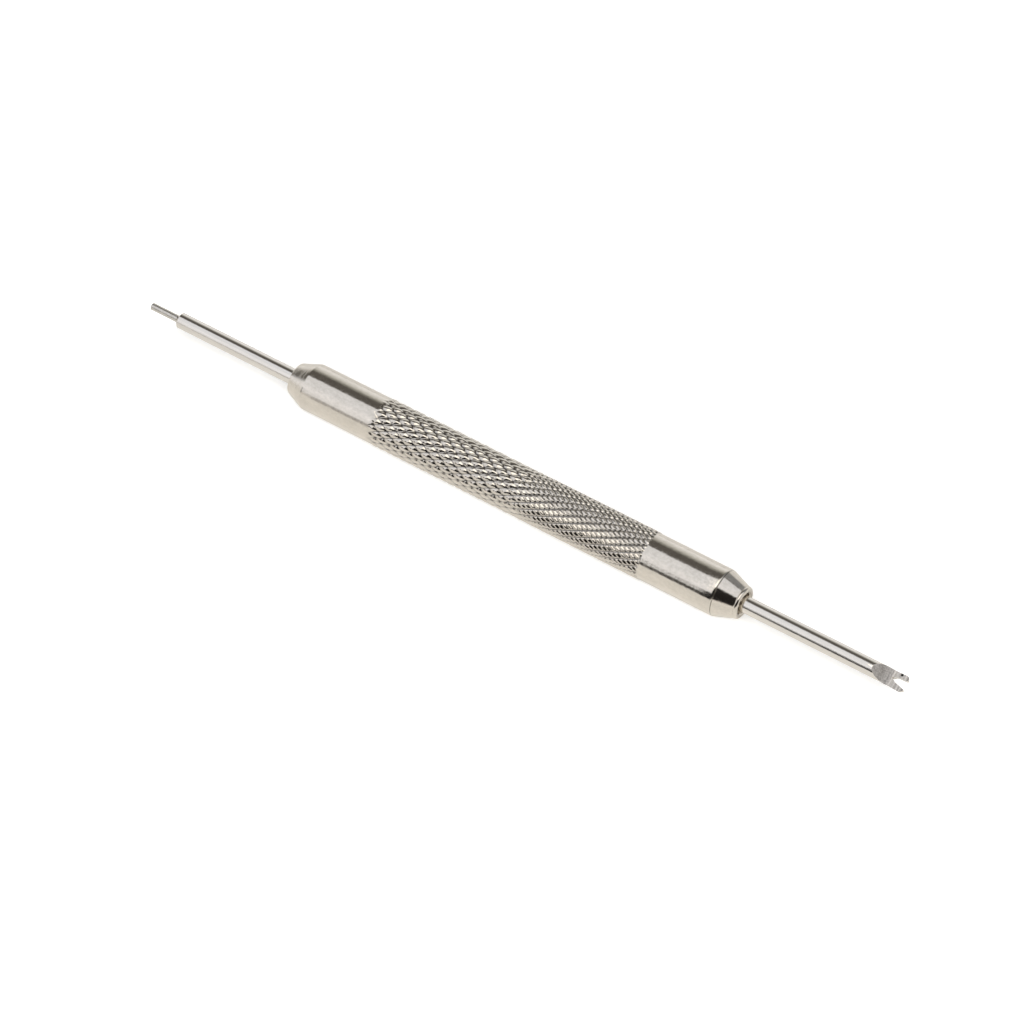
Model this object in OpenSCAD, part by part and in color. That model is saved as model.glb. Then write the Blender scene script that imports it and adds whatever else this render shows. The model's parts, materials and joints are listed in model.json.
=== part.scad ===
// Spring bar tool for watch straps: a knurled handle with a pin at one end and a notched fork at the other.
// The axis lies along X, with the pin at -X and the fork at +X, and the tool rests on the plane Z = 0.

/* [Handle] */
// Diameter of the plain grip on each side of the knurl
grip_d = 6; // [5:0.1:8]
// Length of plain grip between the pin end's nose and the knurl
pin_plain_len = 9.8; // [4:0.1:20]
// Length of plain grip between the knurl and the fork end's nose
fork_plain_len = 10; // [4:0.1:20]
// Length of the knurled band
knurl_len = 38.4; // [20:0.2:60]
// Height of the knurl's crests above the plain grip
knurl_rise = 0.085; // [0.02:0.005:0.2]
// Length that the knurl's crests take to run out at each end
knurl_runout = 0.6; // [0.55:0.05:1.5]

/* [Pin end nose] */
// Length of the nose at the pin end
pin_nose_len = 2.5; // [1.5:0.1:5]
// Diameter that the nose tapers to
pin_nose_d = 4.2; // [3.6:0.1:4.6]
// Radius on the edge of the nose's end face
pin_nose_edge = 0.3; // [0.1:0.05:0.5]

/* [Fork end nose] */
// Length of the taper at the fork end
fork_cone_len = 2.5; // [1.5:0.1:5]
// Diameter of the round lip at the fork end
lip_d = 4.16; // [3.8:0.02:4.6]
// Length of the lip's straight land, before its round nose
lip_land = 0.1; // [0.05:0.05:1.5]
// Diameter of the countersunk mouth inside the lip
mouth_d = 2.74; // [2.5:0.02:3]
// Depth of the countersink, from the lip's nose
mouth_depth = 1.4; // [0.8:0.1:2.5]

/* [Pin bit] */
// Diameter of the pin that pushes the spring bar in
pin_d = 0.9; // [0.6:0.05:1.2]
// Length of the pin
pin_len = 3.85; // [2:0.05:8]
// Diameter of the shaft behind the pin
pin_shaft_d = 2; // [1.8:0.05:2.2]
// Length of shaft that shows between the pin and the handle
pin_shaft_len = 17.6; // [8:0.05:30]
// Length of the tapered shoulder between the pin and the shaft
shoulder_len = 0.4; // [0.2:0.05:1]

/* [Fork bit] */
// Diameter of the shaft that carries the fork
fork_shaft_d = 2.05; // [1.8:0.05:2.2]
// Length of round shaft that shows between the handle and the ground blade
fork_shaft_len = 17.45; // [8:0.05:30]
// Length of the ramp that is ground into the shaft
ramp_len = 2.1; // [1.2:0.1:4]
// Length of the blade beyond the ramp
blade_len = 2.1; // [2.1:0.05:5]
// Depth of the ground face below the shaft's axis
flat_drop = 0.17; // [0:0.01:0.3]
// Width across the prongs at their ends
prong_span = 2.2; // [2.1:0.02:2.6]
// Radius on the outer corner of each prong
prong_corner = 0.45; // [0.1:0.05:0.5]
// Length of the notch
notch_len = 1.9; // [1:0.1:2]
// Width of the notch at its mouth
notch_mouth_w = 1.1; // [0.8:0.05:1.2]
// Width of the notch where its narrow throat begins
notch_throat_w = 0.72; // [0.3:0.02:0.8]
// Length of the notch's narrow throat
notch_throat_len = 0.8; // [0.3:0.1:0.9]
// Angle that the ground face is turned from facing up, towards -Y
fork_roll = 25; // [-90:1:90]

/* [Seats] */
// Length of each bit's shank inside the handle
shank_len = 12; // [6:0.5:16]
// How much larger each shank is than its bore
press = 0.01; // [0.005:0.005:0.02]
// Angle of the drill point at the end of each bore
drill_angle = 118; // [90:1:140]

/* [Hidden] */
$fn = 96;
eps = 0.05;
seam_turn = 90;

grip_r = grip_d / 2;
crest_r = grip_r + knurl_rise;
lip_nose_r = (lip_d - mouth_d) / 4;
lip_mid_r = lip_d / 2 - lip_nose_r;

// Stations along the axis, from the tip of the pin.
pin_face = pin_len + pin_shaft_len;
pin_cone_base = pin_face + pin_nose_len;
knurl_start = pin_cone_base + pin_plain_len;
knurl_end = knurl_start + knurl_len;
fork_cone_base = knurl_end + fork_plain_len;
fork_cone_end = fork_cone_base + fork_cone_len;
lip_centre = fork_cone_end + lip_land;
lip_face = lip_centre + lip_nose_r;
ramp_start = lip_face + fork_shaft_len;
blade_start = ramp_start + ramp_len;
total_len = blade_start + blade_len;

// Lays an axis that points along +Z down along +X, centred over the origin and resting on Z = 0.
// The turn brings the seam of each turned surface to the side, off the line that the tool rests on.
module lay_down() {
    translate([-total_len / 2, 0, crest_r])
        rotate([0, 90, 0])
            rotate([0, 0, seam_turn])
                children();
}

// Outline of the handle from its axis outwards, as [radius, station].
handle_outline = [
    [0, pin_face],
    [pin_nose_d / 2 - pin_nose_edge, pin_face],
    [pin_nose_d / 2, pin_face + pin_nose_edge],
    [grip_r, pin_cone_base],
    [grip_r, knurl_start],
    [crest_r, knurl_start + knurl_runout],
    [crest_r, knurl_end - knurl_runout],
    [grip_r, knurl_end],
    [grip_r, fork_cone_base],
    [lip_d / 2, fork_cone_end],
    [lip_d / 2, lip_centre],
    [0, lip_centre]
];

// Half outline of the handle: the turned bar, the round edge at the pin end and the round lip at the fork end.
module handle_profile() {
    polygon(handle_outline);
    translate([pin_nose_d / 2 - pin_nose_edge, pin_face + pin_nose_edge])
        circle(r = pin_nose_edge);
    translate([lip_mid_r, lip_centre])
        circle(r = lip_nose_r);
}

// Blind bore with a drill point. It starts at z = 0 and runs towards +Z.
module blind_bore(d, depth) {
    translate([0, 0, -eps])
        cylinder(h = depth + eps, d = d);
    translate([0, 0, depth])
        cylinder(h = d / 2 / tan(drill_angle / 2), d1 = d, d2 = 0);
}

// Countersink that opens the fork bore up to the inner side of the lip.
module fork_mouth() {
    bore_r = (fork_shaft_d - press) / 2;
    translate([0, 0, lip_face - mouth_depth])
        cylinder(h = mouth_depth - lip_nose_r, r1 = bore_r, r2 = mouth_d / 2);
    translate([0, 0, lip_centre])
        cylinder(h = lip_nose_r + eps, r = mouth_d / 2);
}

// The handle: one turned and knurled bar, bored at both ends.
module handle() {
    color([0.78, 0.76, 0.73])
        lay_down()
            difference() {
                rotate_extrude()
                    handle_profile();
                translate([0, 0, pin_face])
                    blind_bore(pin_shaft_d - press, shank_len);
                translate([0, 0, lip_face])
                    mirror([0, 0, 1])
                        blind_bore(fork_shaft_d - press, shank_len);
                fork_mouth();
            }
}

// Outline of the pin bit from its axis outwards, as [radius, station].
pin_edge = pin_d / 8;
pin_bit_outline = [
    [0, 0],
    [pin_d / 2 - pin_edge, 0],
    [pin_d / 2, pin_edge],
    [pin_d / 2, pin_len],
    [pin_shaft_d / 2, pin_len + shoulder_len],
    [pin_shaft_d / 2, pin_face + shank_len],
    [0, pin_face + shank_len]
];

// The pin bit: a round shaft turned down to a fine pin.
module pin_bit() {
    color([0.72, 0.71, 0.69])
        lay_down()
            rotate_extrude()
                polygon(pin_bit_outline);
}

// Plan of the ground blade, seen square to its flat: x is the station, y is across the blade.
module blade_plan() {
    neck = fork_shaft_d / 2 + eps;
    half_span = prong_span / 2;
    notch_start = total_len - notch_len;
    corner_x = total_len - prong_corner;
    corner_y = half_span - prong_corner;
    difference() {
        union() {
            polygon([
                [ramp_start - eps, -neck],
                [notch_start, -neck],
                [corner_x, -half_span],
                [corner_x, -corner_y],
                [total_len, -corner_y],
                [total_len, corner_y],
                [corner_x, corner_y],
                [corner_x, half_span],
                [notch_start, neck],
                [ramp_start - eps, neck]
            ]);
            for (side = [-1, 1])
                translate([corner_x, side * corner_y])
                    circle(r = prong_corner);
        }
        polygon([
            [notch_start, 0],
            [notch_start + notch_throat_len, -notch_throat_w / 2],
            [total_len + eps, -notch_mouth_w / 2],
            [total_len + eps, notch_mouth_w / 2],
            [notch_start + notch_throat_len, notch_throat_w / 2]
        ]);
    }
}

// Side view of what grinding leaves: x is the station, y is the height along the flat's normal.
module grind_side() {
    shaft_r = fork_shaft_d / 2;
    polygon([
        [ramp_start - eps, -prong_span],
        [total_len + eps, -prong_span],
        [total_len + eps, -flat_drop],
        [blade_start, -flat_drop],
        [ramp_start, shaft_r],
        [ramp_start - eps, shaft_r]
    ]);
}

// The ground end, along +X with its flat facing +Z.
module ground_end() {
    intersection() {
        translate([0, 0, -prong_span])
            linear_extrude(height = 2 * prong_span)
                blade_plan();
        rotate([90, 0, 0])
            translate([0, 0, -prong_span])
                linear_extrude(height = 2 * prong_span)
                    grind_side();
        rotate([0, 90, 0])
            union() {
                translate([0, 0, ramp_start - eps])
                    cylinder(h = total_len - notch_len - ramp_start + eps, d = fork_shaft_d);
                translate([0, 0, total_len - notch_len])
                    cylinder(h = notch_len, d1 = fork_shaft_d, d2 = prong_span);
            }
    }
}

// The fork bit: a round shaft whose end is ground flat on one side, spread a little and notched.
module fork_bit() {
    color([0.66, 0.65, 0.63])
        translate([-total_len / 2, 0, crest_r])
            rotate([fork_roll, 0, 0]) {
                translate([lip_face - shank_len, 0, 0])
                    rotate([0, 90, 0])
                        cylinder(h = shank_len + fork_shaft_len, d = fork_shaft_d);
                ground_end();
            }
}

handle();
pin_bit();
fork_bit();
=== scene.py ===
import json
import math
import bmesh
import bpy
import numpy as np
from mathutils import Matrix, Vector


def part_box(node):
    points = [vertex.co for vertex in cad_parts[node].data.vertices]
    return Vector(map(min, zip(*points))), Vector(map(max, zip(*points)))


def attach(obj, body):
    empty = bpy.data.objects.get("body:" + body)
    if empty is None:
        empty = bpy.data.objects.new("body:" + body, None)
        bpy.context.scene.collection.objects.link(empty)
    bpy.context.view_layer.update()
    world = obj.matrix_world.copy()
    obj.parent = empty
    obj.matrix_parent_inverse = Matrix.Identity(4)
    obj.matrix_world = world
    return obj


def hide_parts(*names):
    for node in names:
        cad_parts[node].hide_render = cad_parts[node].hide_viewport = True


# Spring bar tool. It lies along X on the plane Z = 0, with its pin at -X and its fork at +X.
# Lengths are in metres. A station is a place along X. An angle round the axis starts at the
# front, at -Y, and rises over the top.

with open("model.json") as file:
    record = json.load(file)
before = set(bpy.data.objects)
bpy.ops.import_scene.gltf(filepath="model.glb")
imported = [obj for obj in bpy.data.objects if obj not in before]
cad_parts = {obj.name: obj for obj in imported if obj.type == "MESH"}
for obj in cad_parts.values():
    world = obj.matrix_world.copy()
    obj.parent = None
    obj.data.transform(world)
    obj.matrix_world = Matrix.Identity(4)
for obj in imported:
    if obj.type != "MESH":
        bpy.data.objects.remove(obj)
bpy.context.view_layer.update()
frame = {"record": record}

# Sizes from the frame.

MM = 0.001
mounts = {mount["name"]: mount for mount in frame["record"]["mounts"]}
handle_low, handle_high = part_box("handle")
pin_low, pin_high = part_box("pin_bit")
fork_low, fork_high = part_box("fork_bit")


def mount_end(name, side):
    """Station of one end of a mount along X: side is -1 for its low end and 1 for its high end."""
    mount = mounts[name]
    return mount["pos_m"][0] + side * mount["dims"]["length_mm"] * MM / 2


def mount_radius(name):
    return mounts[name]["dims"]["r_mm"] * MM


AXIS_Z = (handle_low.z + handle_high.z) / 2
CREST_R = min(-handle_low.y, handle_high.y, AXIS_Z - handle_low.z)
GRIP_R = mount_radius("pin_end_grip")
PIN_R = mount_radius("pin_tip")
PIN_SHAFT_R = (pin_high.y - pin_low.y) / 2

PIN_TIP = pin_low.x
SHOULDER = mount_end("pin_tip", 1)
PIN_FACE = handle_low.x
PIN_CONE_BASE = mount_end("pin_end_grip", -1)
KNURL_START = mount_end("pin_end_grip", 1)
KNURL_END = mount_end("fork_end_grip", -1)
FORK_CONE_BASE = mount_end("fork_end_grip", 1)
LIP_FACE = handle_high.x
FORK_TIP = fork_high.x

# Sizes that the frame doesn't name.

FORK_SHAFT_R = 1.025 * MM
SHOULDER_LEN = 0.4 * MM
PIN_NOSE_R = 2.1 * MM
PIN_NOSE_EDGE = 0.3 * MM
LIP_R = 2.08 * MM
MOUTH_R = 1.37 * MM
LIP_LAND = 0.1 * MM
MOUTH_DEPTH = 1.4 * MM
PRESS = 0.005 * MM
DRILL_POINT = 0.6 * MM
BLADE_LEN = 2.1 * MM
RAMP_LEN = 2.1 * MM
RAMP_BLEND = 0.35 * MM
FLAT_DROP = 0.17 * MM
FORK_ROLL = math.radians(25)
BLADE_START = FORK_TIP - BLADE_LEN
RAMP_START = BLADE_START - RAMP_LEN


# Mesh helpers.


def arc(station, radius, size, start, end, steps):
    """Points of an arc in the outline's plane: centre, size, first and last angle in degrees from +X."""
    turns = np.radians(np.linspace(start, end, steps + 1))
    return [(station + size * math.cos(t), radius + size * math.sin(t)) for t in turns]


def along(start, end, steps):
    """Points of a straight run between two (station, radius) points, without its first point."""
    return [
        (
            start[0] + (end[0] - start[0]) * step / steps,
            start[1] + (end[1] - start[1]) * step / steps,
        )
        for step in range(1, steps + 1)
    ]


def finish_mesh(name, points, faces, sharp_angle, slots=None):
    """Makes a clean closed mesh object with sharp edges only where its surface turns quickly."""
    mesh = bpy.data.meshes.new(name)
    mesh.from_pydata(points, [], faces)
    if slots:
        mesh.polygons.foreach_set("material_index", slots)
    work = bmesh.new()
    work.from_mesh(mesh)
    bmesh.ops.remove_doubles(work, verts=work.verts, dist=0.0005 * MM)
    bmesh.ops.dissolve_degenerate(work, edges=work.edges, dist=0.0002 * MM)
    bmesh.ops.recalc_face_normals(work, faces=work.faces)
    work.to_mesh(mesh)
    work.free()
    mesh.shade_smooth()
    mesh.set_sharp_from_angle(angle=math.radians(sharp_angle))
    piece = bpy.data.objects.new(name, mesh)
    bpy.context.scene.collection.objects.link(piece)
    return piece


def turned(name, outline, sides, relief=None, sharp_angle=38):
    """A body of revolution about the tool's axis, from an outline of (station, radius) points."""
    stations, radii = np.array(outline).T
    x = np.repeat(stations[:, None], sides, axis=1)
    around = np.repeat(np.linspace(0, 2 * math.pi, sides, endpoint=False)[None, :], len(outline), axis=0)
    radius = np.repeat(radii[:, None], sides, axis=1)
    if relief:
        radius = radius + relief(x, around)
    y = -radius * np.cos(around)
    z = AXIS_Z + radius * np.sin(around)
    points = np.stack([x, y, z], axis=-1).reshape(-1, 3).tolist()
    faces = []
    for row in range(len(outline) - 1):
        for side in range(sides):
            after = (side + 1) % sides
            faces.append(
                (
                    row * sides + side,
                    row * sides + after,
                    (row + 1) * sides + after,
                    (row + 1) * sides + side,
                )
            )
    return finish_mesh(name, points, faces, sharp_angle)


# The handle.

HANDLE_SIDES = 240
KNURL_ROWS = 335
KNURL_MARGIN = 0.05 * MM
GROOVE_DEPTH = 0.20 * MM
CREST_RISE = CREST_R - GRIP_R
RISING_STARTS = 20
FALLING_STARTS = 16
DOUBLED_STARTS = 2 * FALLING_STARTS
WIDE_PITCH = 2.0 * MM
FINE_PITCH = WIDE_PITCH / 2
RISING_PHASE = math.radians(60)
FALLING_PHASE = math.radians(-45)
DOUBLED_PHASE = math.radians(-20)
RISING_DRIFT = math.radians(-22)
FALLING_DRIFT = math.radians(58)
DRIFT_LEN = 15 * MM
RISING_LAG = math.radians(-48)
LAG_START = KNURL_START + 14 * MM
LAG_END = KNURL_START + 42 * MM
DOUBLING_START = KNURL_START + 18 * MM
DOUBLING_END = KNURL_START + 25 * MM
# Slow waves that the grooves follow: height in radians, waves round the bar, and length along it, which is
# negative for a wave that runs the other way.
WANDER = ((0.10, 2, 2.9 * MM), (0.07, 5, -1.7 * MM))
# Share of the lower ridge in a diamond's height, and how softly the two families of ridges meet.
CREASE = 0.5
SOFTNESS = 0.07
# Heights of a rising ridge between which its side stands, and the least heights beside it and along it.
RIB_FOOT = 0.14
RIB_TOP = 0.6
RIB_FLOOR = 0.18
BEAD_FLOOR = 0.10
ENTRY_START = KNURL_START - 0.2 * MM
ENTRY_SCALLOP = 0.22 * MM
ENTRY_LEN = 0.75 * MM
LEAVING_LEN = 0.25 * MM

# The fine groove round the base of the fork's cone: stations from the base, and drops below the grip.
CONE_GROOVE = (
    (-0.18 * MM, 0.012 * MM),
    (-0.08 * MM, 0.035 * MM),
    (-0.02 * MM, 0.085 * MM),
    (0.05 * MM, 0.035 * MM),
    (0.08 * MM, 0.045 * MM),
)


def smooth_step(value, low, high):
    """0 below low, 1 above high, and a smooth rise between them."""
    share = np.clip((value - low) / (high - low), 0, 1)
    return share * share * (3 - 2 * share)


def ridges(x, around, pitch, starts, phase):
    """Height of one family of helical ridges: 0 in the bottom of a groove and 1 on a crest."""
    return np.abs(np.sin((2 * math.pi * (x - KNURL_START) / pitch + starts * around - phase) / 2))


def knurl_relief(x, around):
    """How far the knurl stands off the plain grip. Rising and falling grooves cross in diamonds. Towards
    the fork the falling ones double and cut the rising ridges into beads. The edge at the pin's end is
    scalloped, and all the grooves wander a little round the bar."""
    wander = sum(height * np.sin(waves * around + x / length) for height, waves, length in WANDER)
    drift = 1 - smooth_step(x, KNURL_START, KNURL_START + DRIFT_LEN)
    lag = RISING_LAG * smooth_step(x, LAG_START, LAG_END)
    rising_phase = RISING_PHASE + RISING_DRIFT * drift + lag + wander
    falling_phase = FALLING_PHASE + FALLING_DRIFT * drift - wander
    rising = ridges(x, around, WIDE_PITCH, -RISING_STARTS, rising_phase)
    falling = ridges(x, around, WIDE_PITCH, FALLING_STARTS, falling_phase)
    doubled = ridges(x, around, FINE_PITCH, DOUBLED_STARTS, DOUBLED_PHASE - wander)
    crossed = -SOFTNESS * np.log(np.exp(-rising / SOFTNESS) + np.exp(-falling / SOFTNESS))
    diamonds = CREASE * crossed + (1 - CREASE) * (rising + falling) / 2
    rib = smooth_step(rising, RIB_FOOT, RIB_TOP)
    beads = (1 - rib) * RIB_FLOOR + rib * (BEAD_FLOOR + (1 - BEAD_FLOOR) * doubled)
    share = smooth_step(x, DOUBLING_START, DOUBLING_END)
    height = diamonds * (1 - share) + beads * share
    first = ENTRY_START + ENTRY_SCALLOP * (1 + np.sin(RISING_STARTS * around))
    entry = smooth_step(x, first, first + ENTRY_LEN)
    leaving = 1 - smooth_step(x, KNURL_END - LEAVING_LEN, KNURL_END)
    knurled = (x > KNURL_START) & (x < KNURL_END)
    return np.where(knurled, entry * leaving * (CREST_RISE - GROOVE_DEPTH * (1 - height)), 0)


def handle_outline():
    """From the bottom of the pin's bore, out over the whole outside, to the bottom of the fork's bore."""
    pin_bore = PIN_SHAFT_R - PRESS
    fork_bore = FORK_SHAFT_R - PRESS
    chamfer = 0.12 * MM
    corner = 0.10 * MM
    groove = 0.06 * MM
    lip_nose = (LIP_R - MOUTH_R) / 2
    lip_centre = LIP_FACE - lip_nose
    cone_end = lip_centre - LIP_LAND
    cone_slope = math.degrees(math.atan2(GRIP_R - PIN_NOSE_R, PIN_CONE_BASE - PIN_FACE - PIN_NOSE_EDGE))
    points = [(pin_high.x + DRILL_POINT, 0), (pin_high.x, pin_bore), (PIN_FACE + chamfer, pin_bore)]
    points += [(PIN_FACE, pin_bore + chamfer)]
    edge_station = PIN_FACE + PIN_NOSE_EDGE
    edge_radius = PIN_NOSE_R - PIN_NOSE_EDGE
    points += arc(edge_station, edge_radius, PIN_NOSE_EDGE, 180, 90 + cone_slope, 6)
    points += along(points[-1], (PIN_CONE_BASE - corner, GRIP_R - corner * 0.38), 12)
    points += [(PIN_CONE_BASE - corner * 0.3, GRIP_R - corner * 0.06)]
    points += [(PIN_CONE_BASE + corner * 0.4, GRIP_R)]
    points += along(points[-1], (KNURL_START - KNURL_MARGIN, GRIP_R), 6)
    points += [(KNURL_START, GRIP_R)]
    points += along(points[-1], (KNURL_END, GRIP_R), KNURL_ROWS)
    points += [(KNURL_END + KNURL_MARGIN, GRIP_R)]
    points += along(points[-1], (FORK_CONE_BASE - 0.30 * MM, GRIP_R), 6)
    points += [(FORK_CONE_BASE + along_bar, GRIP_R - drop) for along_bar, drop in CONE_GROOVE]
    points += along(points[-1], (cone_end - groove * 1.5, LIP_R + groove * 0.55), 4)
    points += [(cone_end - groove, LIP_R + groove * 0.37)]
    points += [(cone_end, LIP_R - groove * 0.5), (cone_end + groove, LIP_R)]
    points += arc(lip_centre, LIP_R - lip_nose, lip_nose, 90, -90, 16)
    points += along(points[-1], (LIP_FACE - MOUTH_DEPTH, fork_bore), 4)
    points += [(fork_low.x, fork_bore), (fork_low.x - DRILL_POINT, 0)]
    return points


def make_handle():
    piece = turned("handle_body", handle_outline(), HANDLE_SIDES, knurl_relief, sharp_angle=50)
    piece.data.materials.append(nickel())
    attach(piece, "root")
    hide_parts("handle")


# The pin bit.


def make_pin_bit():
    edge = 0.06 * MM
    shaft_end = SHOULDER + SHOULDER_LEN
    outline = [(pin_high.x, 0), (pin_high.x, PIN_SHAFT_R)]
    outline += along(outline[-1], (shaft_end + edge, PIN_SHAFT_R), 30)
    outline += [(shaft_end, PIN_SHAFT_R - edge)]
    outline += along(outline[-1], (SHOULDER, PIN_R), 4)
    outline += along(outline[-1], (PIN_TIP + edge, PIN_R), 20)
    outline += [(PIN_TIP + edge * 0.3, PIN_R - edge * 0.3), (PIN_TIP, PIN_R - edge), (PIN_TIP, 0)]
    piece = turned("pin_bit_body", outline, 72)
    piece.data.materials.append(plated_shaft())
    piece.data.materials.append(turned_steel())
    for face in piece.data.polygons:
        face.material_index = 1 if face.center.x < SHOULDER + SHOULDER_LEN else 0
    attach(piece, "root")
    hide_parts("pin_bit")


# The fork bit. Its sections are drawn in its own directions: across, positive on the near side, and up
# along the ground face's normal.

TOP_STEPS = 16
ROUND_STEPS = 24
INNER_STEPS = 5
PRONG_HALF = 1.1 * MM
# Slack for a station that lies right at the notch's root.
ROUNDING = 0.001 * MM
NOTCH_LEN = 1.9 * MM
ROOT_ACROSS = 0.13 * MM
SCOOP_DEPTH = 0.012 * MM
SCOOP_LEN = 0.42 * MM
TIP_FALL = 0.02 * MM
TIP_FALL_LEN = 0.55 * MM
TIP_ZONE = 0.5 * MM
DIMPLE_BACK = 0.92 * MM
DIMPLE_ACROSS = 0.88 * MM
DIMPLE_R = 0.16 * MM
DIMPLE_DEPTH = 0.15 * MM


def rounded_corner(back):
    """Outside of the far prong: straight, then a round corner."""
    size = 0.40 * MM
    inset = size - math.sqrt(max(size * size - max(size - back, 0) ** 2, 0))
    return PRONG_HALF - inset


def prong_outside(back, side):
    """Half width outside a prong, at a distance back from the fork's tip."""
    if side < 0:
        return rounded_corner(back)
    places = (0, 0.12, 0.3, 0.45)
    halves = (0.70, 0.90, 1.06, PRONG_HALF / MM)
    return np.interp(back / MM, places, halves) * MM


def notch_edge(back, side):
    """How far the notch's wall lies across on its own side, at a distance back from the fork's tip. The
    root of the notch lies a little towards the far side."""
    if side < 0:
        places = (0, 0.06, 0.2, 1.31, 1.5, 1.62, 1.9)
        edges = (0.64, 0.54, 0.50, 0.47, 0.38, 0.25, ROOT_ACROSS / MM)
    else:
        places = (0, 1.3, 1.6, 1.9)
        edges = (0.57, 0.23, 0.04, -ROOT_ACROSS / MM)
    return np.interp(back / MM, places, edges) * MM


def inner_edge(x, side):
    """Inner side of one half's section: the notch's wall, and behind the notch the line where both halves
    meet. That line starts on the axis and runs out to the notch's root."""
    back = FORK_TIP - x
    if back < NOTCH_LEN:
        return notch_edge(back, side)
    share = max(x - RAMP_START, 0) / (FORK_TIP - NOTCH_LEN - RAMP_START)
    return -side * ROOT_ACROSS * share


def top_height(x):
    """Height of the shaft's top or the ground face. The blade has shallow scoops left by the wheel."""
    to_blade = BLADE_START - x
    rise = (to_blade + math.hypot(to_blade, RAMP_BLEND)) / 2
    on_ramp = rise * (FORK_SHAFT_R + FLAT_DROP) / RAMP_LEN - FLAT_DROP
    scoop = SCOOP_DEPTH * abs(math.sin(math.pi * (x - BLADE_START) / SCOOP_LEN)) if x > BLADE_START else 0
    tip_fall = TIP_FALL * smooth_step(x, FORK_TIP - TIP_FALL_LEN, FORK_TIP)
    return on_ramp - scoop - tip_fall


def half_section(x, side):
    """Half of the bit's section at station x: along the top, round the outside, and up the inner side."""
    back = FORK_TIP - x
    radius = np.interp(back, (0, NOTCH_LEN), (PRONG_HALF, FORK_SHAFT_R))
    top = min(top_height(x), radius)
    outside = prong_outside(back, side)
    top_edge = min(math.sqrt(max(radius**2 - top**2, 0)), outside)
    inner = min(inner_edge(x, side), top_edge)
    points = []
    for step in range(TOP_STEPS + 1):
        across = inner + (top_edge - inner) * step / TOP_STEPS
        up = top
        if side < 0:
            off = math.hypot(back - DIMPLE_BACK, across - DIMPLE_ACROSS) / DIMPLE_R
            up -= DIMPLE_DEPTH * max(1 - off * off, 0)
        points.append((across, up))
    first = math.asin(top / radius)
    last = -math.acos(inner / radius)
    for step in range(1, ROUND_STEPS + 1):
        turn = first + (last - first) * step / ROUND_STEPS
        points.append((min(radius * math.cos(turn), outside), radius * math.sin(turn)))
    low = points[-1][1]
    points += [(inner, low + (top - low) * step / INNER_STEPS) for step in range(1, INNER_STEPS)]
    return [(side * across, up) for across, up in points]


def fork_stations():
    """Stations of the fork bit's sections: closest together at the tip, and one right at the notch's root."""
    root = FORK_TIP - NOTCH_LEN
    shank = np.linspace(fork_low.x, RAMP_START, 30, endpoint=False)
    ramp = np.linspace(RAMP_START, BLADE_START, 36, endpoint=False)
    blade = np.linspace(BLADE_START, root, 6, endpoint=False)
    prongs = np.linspace(root, FORK_TIP - TIP_ZONE, 44, endpoint=False)
    tip = FORK_TIP - TIP_ZONE * np.cos(np.linspace(0, math.pi / 2, 18))
    return list(shank) + list(ramp) + list(blade) + list(prongs) + list(tip)


def make_fork_bit():
    stations = fork_stations()
    points = []
    faces = []
    slots = []
    for side in (-1, 1):
        first = len(points)
        for x in stations:
            for across, up in half_section(x, side):
                y = -across * math.cos(FORK_ROLL) - up * math.sin(FORK_ROLL)
                z = -across * math.sin(FORK_ROLL) + up * math.cos(FORK_ROLL)
                points.append((x, y, AXIS_Z + z))
        ring = (len(points) - first) // len(stations)
        for row in range(len(stations) - 1):
            notched = FORK_TIP - stations[row] < NOTCH_LEN + ROUNDING
            this_row = first + row * ring
            next_row = this_row + ring
            for step in range(ring if notched else TOP_STEPS + ROUND_STEPS):
                after = (step + 1) % ring
                faces.append([this_row + step, this_row + after, next_row + after, next_row + step])
                slots.append(1 if step < TOP_STEPS and stations[row] >= RAMP_START else 0)
        faces.append([first + (len(stations) - 1) * ring + step for step in range(ring)])
        slots.append(0)
    faces.append(shank_end(stations, points))
    slots.append(0)
    piece = finish_mesh("fork_bit_body", points, faces, 30, slots)
    piece.data.materials.append(plated_shaft())
    piece.data.materials.append(ground_steel())
    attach(piece, "root")
    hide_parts("fork_bit")


def shank_end(stations, points):
    """The flat end of the shank: one face through the outline of both halves of the first section."""
    ring = len(half_section(stations[0], 1))
    half = len(points) // 2
    outline = TOP_STEPS + ROUND_STEPS + 1
    far = list(range(TOP_STEPS, outline))
    near = [half + step for step in range(outline - 2, TOP_STEPS, -1)]
    return far + near


# Shader helpers.


def add(tree, kind, inputs=None, **settings):
    """Adds a shader node. An input is set to a value, or linked if its value is another node's output."""
    made = tree.nodes.new(kind)
    for name, value in settings.items():
        setattr(made, name, value)
    for socket, value in (inputs or {}).items():
        if isinstance(value, bpy.types.NodeSocket):
            tree.links.new(value, made.inputs[socket])
        else:
            made.inputs[socket].default_value = value
    return made


def maths(tree, operation, first, second=0.0, third=0.0):
    return add(tree, "ShaderNodeMath", {0: first, 1: second, 2: third}, operation=operation).outputs[0]


def spread(tree, value, low, high, new_low, new_high):
    """Maps a value from one range to another, and holds it inside the new one."""
    inputs = {"Value": value, "From Min": low, "From Max": high, "To Min": new_low, "To Max": new_high}
    return add(tree, "ShaderNodeMapRange", inputs, clamp=True).outputs["Result"]


def noise(tree, size_x, size_across, detail=3.0):
    """Noise whose patches measure size_x along the tool and size_across in the other two directions."""
    place = add(tree, "ShaderNodeTexCoord").outputs["Object"]
    scale = (1 / size_x, 1 / size_across, 1 / size_across)
    stretched = add(tree, "ShaderNodeMapping", {"Vector": place, "Scale": scale}).outputs["Vector"]
    inputs = {"Vector": stretched, "Scale": 1.0, "Detail": detail}
    return add(tree, "ShaderNodeTexNoise", inputs).outputs["Fac"]


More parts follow.
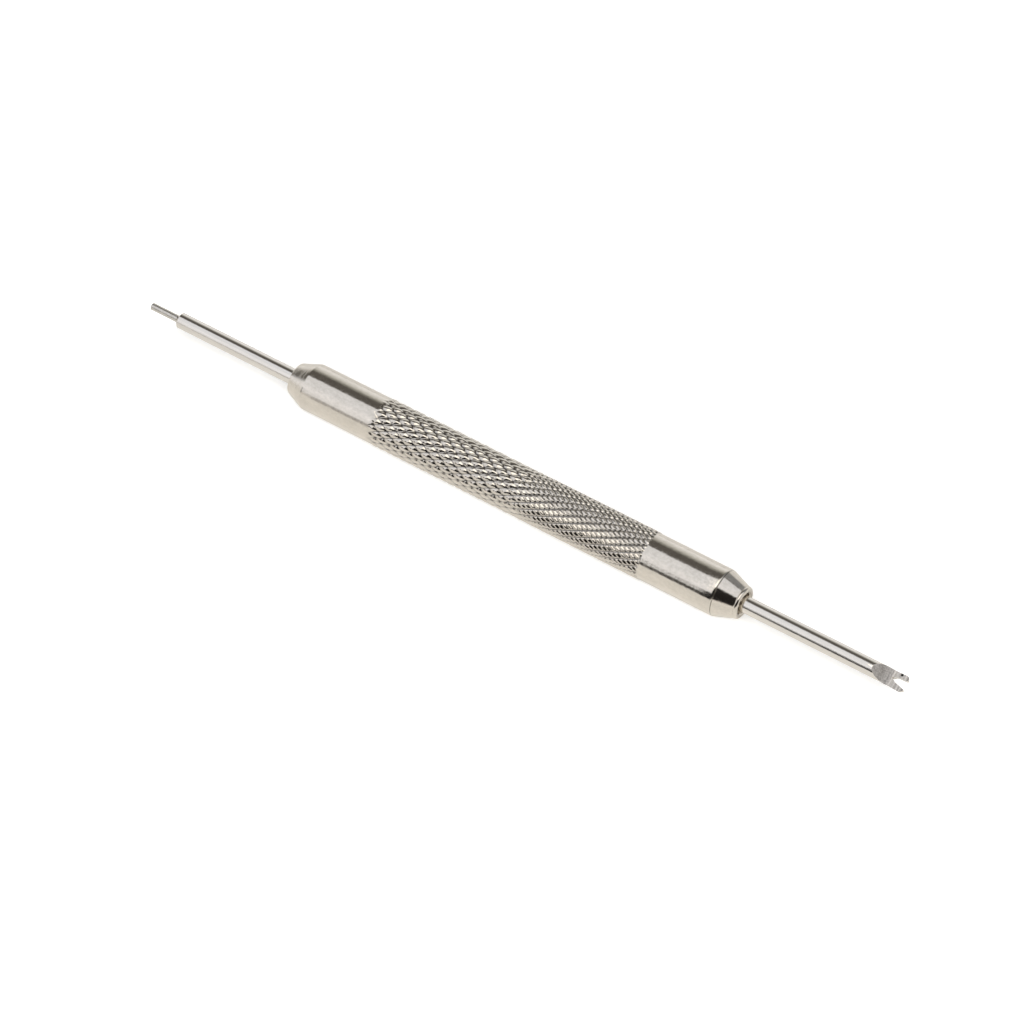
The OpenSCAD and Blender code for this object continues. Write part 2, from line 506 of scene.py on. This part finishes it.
def bump(tree, height, distance, below=None):
    """A bump whose full height is distance. below is the normal of the bump that it lies on."""
    inputs = {"Height": height, "Distance": distance, "Strength": 1.0}
    if below is not None:
        inputs["Normal"] = below
    return add(tree, "ShaderNodeBump", inputs).outputs["Normal"]


def metal(name):
    """A new metal material: returns the material, its node tree and its shader."""
    material = bpy.data.materials.new(name)
    material.use_nodes = True
    tree = material.node_tree
    tree.nodes.clear()
    shader = add(tree, "ShaderNodeBsdfPrincipled", {"Metallic": 1.0})
    add(tree, "ShaderNodeOutputMaterial", {"Surface": shader.outputs[0]})
    return material, tree, shader


def inside(tree, value, low, high, soft):
    """1 where value lies between low and high, falling to 0 over a soft edge."""
    rising = spread(tree, value, low - soft, low + soft, 0.0, 1.0)
    falling = spread(tree, value, high - soft, high + soft, 1.0, 0.0)
    return maths(tree, "MULTIPLY", rising, falling)


def mix_colour(tree, share, first, second):
    mixed = tree.nodes.new("ShaderNodeMix")
    mixed.data_type = "RGBA"
    tree.links.new(share, mixed.inputs[0])
    for socket, value in ((6, first), (7, second)):
        if isinstance(value, bpy.types.NodeSocket):
            tree.links.new(value, mixed.inputs[socket])
        else:
            mixed.inputs[socket].default_value = value
    return mixed.outputs[2]


# Materials.

FLOOR_GLOW = 0.4
NICKEL_DULL = (0.58, 0.535, 0.465, 1)
NICKEL_BRIGHT = (0.72, 0.665, 0.585, 1)
# Painted shade: grey in the knurl's grooves, and black in its pits, in the groove at the fork's cone, towards
# the fork's tip and in its dimple.
GROOVE_SHADE = (0.32, 0.30, 0.275, 1)
SHADE_BLACK = (0.02, 0.018, 0.015, 1)
SHAFT_DULL = (0.66, 0.62, 0.56, 1)
SHAFT_BRIGHT = (0.74, 0.70, 0.64, 1)
PIN_DULL = (0.46, 0.43, 0.38, 1)
PIN_BRIGHT = (0.70, 0.66, 0.60, 1)
BLADE_DULL = (0.31, 0.29, 0.27, 1)
BLADE_BRIGHT = (0.59, 0.56, 0.53, 1)
PAPER_DULL = (0.86, 0.85, 0.83, 1)
PAPER_BRIGHT = (0.88, 0.87, 0.85, 1)


def station_and_depth(tree):
    """A point's station along X, and its depth below the knurl's crests."""
    place = add(tree, "ShaderNodeTexCoord").outputs["Object"]
    parts = add(tree, "ShaderNodeSeparateXYZ", {"Vector": place}).outputs
    up = maths(tree, "SUBTRACT", parts["Z"], AXIS_Z)
    squares = maths(tree, "MULTIPLY_ADD", up, up, maths(tree, "MULTIPLY", parts["Y"], parts["Y"]))
    return parts["X"], maths(tree, "SUBTRACT", CREST_R, maths(tree, "SQRT", squares))


def nickel():
    """Semi-bright nickel plate on a turned bar: mottled grain, faint rings that are coarse on the pin's cone,
    small scratches, and painted shade: grey and black in the bottom of the knurl, and black in the groove at
    the fork's cone."""
    material, tree, shader = metal("handle_nickel")
    station, depth = station_and_depth(tree)
    cloud = noise(tree, 1.8 * MM, 0.9 * MM)
    mottle = noise(tree, 0.40 * MM, 0.28 * MM, 4.0)
    rings = noise(tree, 0.16 * MM, 6.0 * MM)
    streaks = noise(tree, 3.0 * MM, 0.05 * MM)
    shade = maths(tree, "ADD", maths(tree, "MULTIPLY", cloud, 0.45), maths(tree, "MULTIPLY", mottle, 0.55))
    shade = spread(tree, shade, 0.3, 0.7, 0.0, 1.0)
    colour = mix_colour(tree, shade, NICKEL_DULL, NICKEL_BRIGHT)
    in_knurl = inside(tree, station, KNURL_START, KNURL_END, 0.05 * MM)
    # Painted shade: the knurl's grooves turn grey with depth, and the bottoms of its pits turn black.
    grey = spread(tree, depth, GROOVE_DEPTH * 0.35, GROOVE_DEPTH * 0.8, 0.0, 0.7)
    colour = mix_colour(tree, maths(tree, "MULTIPLY", in_knurl, grey), colour, GROOVE_SHADE)
    pit_shade = spread(tree, depth, GROOVE_DEPTH * 0.68, GROOVE_DEPTH * 0.94, 0.0, 1.0)
    pit_shade = maths(tree, "MULTIPLY", in_knurl, pit_shade)
    # Painted shade: a black line along the fine groove at the base of the fork's cone.
    groove = inside(tree, station, FORK_CONE_BASE - 0.06 * MM, FORK_CONE_BASE + 0.03 * MM, 0.03 * MM)
    groove = maths(tree, "MULTIPLY", groove, 0.6)
    colour = mix_colour(tree, maths(tree, "MAXIMUM", pit_shade, groove), colour, SHADE_BLACK)
    tree.links.new(colour, shader.inputs["Base Color"])
    rough = maths(tree, "MULTIPLY_ADD", mottle, 0.14, 0.06)
    tree.links.new(rough, shader.inputs["Roughness"])
    coarse = spread(tree, station, PIN_CONE_BASE - 0.3 * MM, PIN_CONE_BASE, 1.0, 0.036)
    normal = bump(tree, mottle, 0.008 * MM)
    normal = bump(tree, maths(tree, "MULTIPLY", rings, coarse), 0.05 * MM, normal)
    normal = bump(tree, streaks, 0.0015 * MM, normal)
    tree.links.new(normal, shader.inputs["Normal"])
    return material


def plated_shaft():
    """Plated drawn wire: smooth, with faint lines along its length."""
    material, tree, shader = metal("plated_shaft")
    cloud = noise(tree, 3.0 * MM, 0.6 * MM)
    lines = noise(tree, 4.0 * MM, 0.04 * MM)
    grain = noise(tree, 0.15 * MM, 0.08 * MM)
    tree.links.new(mix_colour(tree, cloud, SHAFT_DULL, SHAFT_BRIGHT), shader.inputs["Base Color"])
    tree.links.new(maths(tree, "MULTIPLY_ADD", grain, 0.10, 0.08), shader.inputs["Roughness"])
    normal = bump(tree, lines, 0.0015 * MM)
    normal = bump(tree, grain, 0.002 * MM, normal)
    tree.links.new(normal, shader.inputs["Normal"])
    return material


def turned_steel():
    """Bare turned steel of the pin: rings round the axis and mottled, oxidised discolouring."""
    material, tree, shader = metal("turned_steel")
    cloud = noise(tree, 0.5 * MM, 0.3 * MM)
    rings = noise(tree, 0.04 * MM, 3.0 * MM)
    grain = noise(tree, 0.08 * MM, 0.06 * MM)
    tree.links.new(mix_colour(tree, cloud, PIN_DULL, PIN_BRIGHT), shader.inputs["Base Color"])
    tree.links.new(maths(tree, "MULTIPLY_ADD", grain, 0.15, 0.18), shader.inputs["Roughness"])
    normal = bump(tree, rings, 0.004 * MM)
    normal = bump(tree, grain, 0.004 * MM, normal)
    tree.links.new(normal, shader.inputs["Normal"])
    return material


def in_dimple(tree):
    """1 inside the small dimple on the far prong, whose inside is painted black as shade."""
    place = add(tree, "ShaderNodeTexCoord").outputs["Object"]
    drop = FLAT_DROP + DIMPLE_DEPTH / 2
    middle = (
        FORK_TIP - DIMPLE_BACK,
        DIMPLE_ACROSS * math.cos(FORK_ROLL) + drop * math.sin(FORK_ROLL),
        AXIS_Z + DIMPLE_ACROSS * math.sin(FORK_ROLL) - drop * math.cos(FORK_ROLL),
    )
    off = add(tree, "ShaderNodeVectorMath", {0: place, 1: middle}, operation="DISTANCE").outputs["Value"]
    return spread(tree, off, DIMPLE_R, DIMPLE_R * 1.2, 1.0, 0.0)


def ground_steel():
    """Bare ground steel of the blade: marks of the wheel across it, a mottled grey, and painted shade: darker
    towards the tip, and black in the far prong's dimple.
    """
    material, tree, shader = metal("ground_steel")
    bands = noise(tree, 0.20 * MM, 8.0 * MM, 1.0)
    marks = noise(tree, 0.03 * MM, 2.0 * MM)
    mottle = noise(tree, 0.18 * MM, 0.18 * MM)
    station, _ = station_and_depth(tree)
    banded = spread(tree, station, BLADE_START - 0.5 * MM, BLADE_START + 0.4 * MM, 0.25, 0.65)
    plain = maths(tree, "SUBTRACT", 1.0, banded)
    shade = maths(tree, "MULTIPLY_ADD", bands, banded, maths(tree, "MULTIPLY", mottle, plain))
    shade = spread(tree, shade, 0.38, 0.62, 0.0, 1.0)
    colour = mix_colour(tree, shade, BLADE_DULL, BLADE_BRIGHT)
    # Painted shade: the last 0.35 mm to the tip darkens towards black, standing in for the tip's darker
    # reflection.
    tip_shade = spread(tree, station, FORK_TIP - 0.35 * MM, FORK_TIP - 0.05 * MM, 0.0, 0.75)
    colour = mix_colour(tree, tip_shade, colour, SHADE_BLACK)
    # Painted shade: black inside the far prong's dimple.
    colour = mix_colour(tree, in_dimple(tree), colour, SHADE_BLACK)
    tree.links.new(colour, shader.inputs["Base Color"])
    tree.links.new(maths(tree, "MULTIPLY_ADD", mottle, 0.2, 0.28), shader.inputs["Roughness"])
    normal = bump(tree, marks, 0.004 * MM)
    normal = bump(tree, bands, 0.012 * MM, normal)
    tree.links.new(normal, shader.inputs["Normal"])
    return material


def floor_material():
    """Matt white paper. The camera sees it glow a little, so that it fades into the white background."""
    material = bpy.data.materials.new("floor_paper")
    material.use_nodes = True
    tree = material.node_tree
    shader = tree.nodes["Principled BSDF"]
    grain = noise(tree, 2 * MM, 2 * MM)
    tree.links.new(mix_colour(tree, grain, PAPER_DULL, PAPER_BRIGHT), shader.inputs["Base Color"])
    shader.inputs["Roughness"].default_value = 0.9
    shader.inputs["Specular IOR Level"].default_value = 0.0
    seen = add(tree, "ShaderNodeLightPath").outputs["Is Camera Ray"]
    shader.inputs["Emission Color"].default_value = (1.0, 1.0, 1.0, 1.0)
    tree.links.new(maths(tree, "MULTIPLY", seen, FLOOR_GLOW), shader.inputs["Emission Strength"])
    return material


# Stage.

CAMERA_AZIMUTH = math.radians(33.36)
CAMERA_ELEVATION = math.radians(49.62)
CAMERA_DISTANCE = 0.6
CAMERA_LENS = 178.0
CAMERA_AIM = (-0.59 * MM, -2.67 * MM)
FLOOR_SIZE = 1.6
FLOOR_SIDES = 96
LAMP_DISTANCE = 1.5
LAMP_SIZE = 3.0
LAMP_POWER = 63.0


def camera_direction():
    """From the object to the camera, at length 1."""
    return Vector(
        (
            math.sin(CAMERA_AZIMUTH) * math.cos(CAMERA_ELEVATION),
            -math.cos(CAMERA_AZIMUTH) * math.cos(CAMERA_ELEVATION),
            math.sin(CAMERA_ELEVATION),
        )
    )


def make_camera():
    """Camera at the object's front right, looking down. The aim is how far it points right of and above
    the middle of the axis."""
    back = camera_direction()
    right = Vector((math.cos(CAMERA_AZIMUTH), math.sin(CAMERA_AZIMUTH), 0))
    upward = back.cross(right)
    middle = Vector((0, 0, AXIS_Z))
    place = middle + back * CAMERA_DISTANCE
    target = middle + right * CAMERA_AIM[0] + upward * CAMERA_AIM[1]
    data = bpy.data.cameras.new("camera")
    data.lens = CAMERA_LENS
    data.clip_start = 0.01
    data.clip_end = 20
    camera = bpy.data.objects.new("camera", data)
    camera.location = place
    camera.rotation_euler = (target - place).to_track_quat("-Z", "Y").to_euler()
    bpy.context.scene.collection.objects.link(camera)
    bpy.context.scene.camera = camera


def make_floor():
    mesh = bpy.data.meshes.new("floor")
    turns = [2 * math.pi * k / FLOOR_SIDES for k in range(FLOOR_SIDES)]
    ring = [(FLOOR_SIZE * math.cos(turn), FLOOR_SIZE * math.sin(turn), 0) for turn in turns]
    mesh.from_pydata(ring, [], [list(range(FLOOR_SIDES))])
    floor = bpy.data.objects.new("floor", mesh)
    mesh.materials.append(floor_material())
    bpy.context.scene.collection.objects.link(floor)


def make_lamp():
    """A wide lamp behind the camera that lights the floor and isn't seen in the metal."""
    data = bpy.data.lights.new("lamp", "AREA")
    data.shape = "DISK"
    data.size = LAMP_SIZE
    data.energy = LAMP_POWER
    lamp = bpy.data.objects.new("lamp", data)
    lamp.location = camera_direction() * LAMP_DISTANCE
    lamp.rotation_euler = camera_direction().to_track_quat("Z", "Y").to_euler()
    lamp.visible_glossy = False
    bpy.context.scene.collection.objects.link(lamp)


# The studio by rise: an angle from the horizon in front, over the top, to the horizon behind.
STUDIO_BANDS = [
    (0, (1.00, 0.97, 0.95)),
    (18, (1.10, 1.12, 1.18)),
    (38, (1.14, 1.16, 1.24)),
    (60, (0.99, 1.02, 1.10)),
    (93.5, (0.97, 1.00, 1.08)),
    (95, (0.13, 0.122, 0.115)),
    (126, (0.13, 0.122, 0.115)),
    (133, (0.30, 0.30, 0.28)),
    (140, (0.54, 0.54, 0.52)),
    (146, (0.74, 0.74, 0.73)),
    (153, (0.87, 0.88, 0.88)),
    (161, (1.02, 1.03, 1.05)),
    (170, (1.14, 1.16, 1.19)),
]
HOT_CORE = (2.0, 1.96, 1.88, 1)
BLACK = (0.02, 0.018, 0.018, 1)
RIGHT_GREY = (0.86, 0.85, 0.84, 1)
RIGHT_GAP = (0.30, 0.31, 0.33, 1)
LEFT_GAP = (0.17, 0.165, 0.16, 1)
WHITE = (0.98, 0.98, 0.98, 1)

# What stands in front of the bands, painted in this order: a colour, and the ranges that it fills. A range
# is a direction, its low and high end, and its soft edge.
STUDIO_PATCHES = (
    (HOT_CORE, ("sideways", -0.2, 0.2, 0.06), ("rise", 38, 100, 8)),
    (RIGHT_GREY, ("sideways", 0.45, 2.0, 0.04)),
    (RIGHT_GAP, ("sideways", 0.05, 0.7, 0.05), ("rise", 127, 163, 3)),
    (LEFT_GAP, ("sideways", -2.0, -0.7, 0.05), ("rise", 68, 130, 14)),
    (BLACK, ("azimuth", -14, 62, 1.0), ("level", 6.5, 59, 1.0)),
    (BLACK, ("sideways", -0.66, -0.50, 0.01), ("rise", -2, 30, 0.7)),
    (BLACK, ("sideways", -0.305, -0.15, 0.01), ("rise", -2, 30, 0.7)),
)

# How far the bands are turned up towards the right: first and last sideways, first and last degrees.
STUDIO_LEAN = (-0.36, 0.30, 0.0, 32.0)

# The dark edge of the table, and how it fades to the left: first and last sideways, first and last share.
TABLE_EDGE = (("sideways", -2.0, 0.1, 0.05), ("rise", -1, 14, 0.7))
EDGE_FADE = (-0.43, -0.33, 0.1, 1.0)


def filled(tree, places, ranges):
    """1 where a direction lies inside all the ranges."""
    share = 1.0
    for place, low, high, soft in ranges:
        share = maths(tree, "MULTIPLY", inside(tree, places[place], low, high, soft), share)
    return share


def make_world():
    """The studio that the metal reflects, set to give the photo's bands of light. From the front over the top
    stands a wide soft box with a hot core. Behind it come a dark gap and a light backdrop.
    The right side is grey with a darker gap in it, and the far left has a dark gap too. In front stand a
    wide dark stand, two low dark posts and the dark edge of the table. Camera rays see plain white, and
    the floor takes no light from here. The sideways value is the X of a direction of length 1."""
    world = bpy.data.worlds.new("studio")
    bpy.context.scene.world = world
    world.use_nodes = True
    world.cycles_visibility.diffuse = False
    tree = world.node_tree
    tree.nodes.clear()
    direction = add(tree, "ShaderNodeTexCoord").outputs["Generated"]
    parts = add(tree, "ShaderNodeSeparateXYZ", {"Vector": direction}).outputs
    sideways = parts["X"]
    front = maths(tree, "MULTIPLY", parts["Y"], -1.0)
    rise = maths(tree, "MULTIPLY", maths(tree, "ARCTAN2", parts["Z"], front), 180 / math.pi)
    azimuth = maths(tree, "MULTIPLY", maths(tree, "ARCTAN2", sideways, front), 180 / math.pi)
    level = maths(tree, "MULTIPLY", maths(tree, "ARCSINE", parts["Z"]), 180 / math.pi)
    lean = spread(tree, sideways, *STUDIO_LEAN)
    fac = maths(tree, "DIVIDE", maths(tree, "SUBTRACT", rise, lean), 180.0)
    ramp = add(tree, "ShaderNodeValToRGB", {"Fac": fac})
    stops = ramp.color_ramp.elements
    for degrees, colour in STUDIO_BANDS[1:-1]:
        stops.new(degrees / 180).color = colour + (1,)
    stops[0].color = STUDIO_BANDS[0][1] + (1,)
    stops[len(stops) - 1].color = STUDIO_BANDS[-1][1] + (1,)
    stops[len(stops) - 1].position = STUDIO_BANDS[-1][0] / 180
    lit = ramp.outputs["Color"]
    places = {"sideways": sideways, "rise": rise, "azimuth": azimuth, "level": level}
    for colour, *ranges in STUDIO_PATCHES:
        lit = mix_colour(tree, filled(tree, places, ranges), lit, colour)
    edge = maths(tree, "MULTIPLY", filled(tree, places, TABLE_EDGE), spread(tree, sideways, *EDGE_FADE))
    lit = mix_colour(tree, edge, lit, BLACK)
    seen = add(tree, "ShaderNodeLightPath").outputs["Is Camera Ray"]
    lit = mix_colour(tree, seen, lit, WHITE)
    background = add(tree, "ShaderNodeBackground", {"Color": lit, "Strength": 1.0})
    add(tree, "ShaderNodeOutputWorld", {"Surface": background.outputs[0]})


make_camera()
make_floor()
make_lamp()
make_world()
make_handle()
make_pin_bit()
make_fork_bit()
bpy.context.scene.view_settings.view_transform = "Standard"
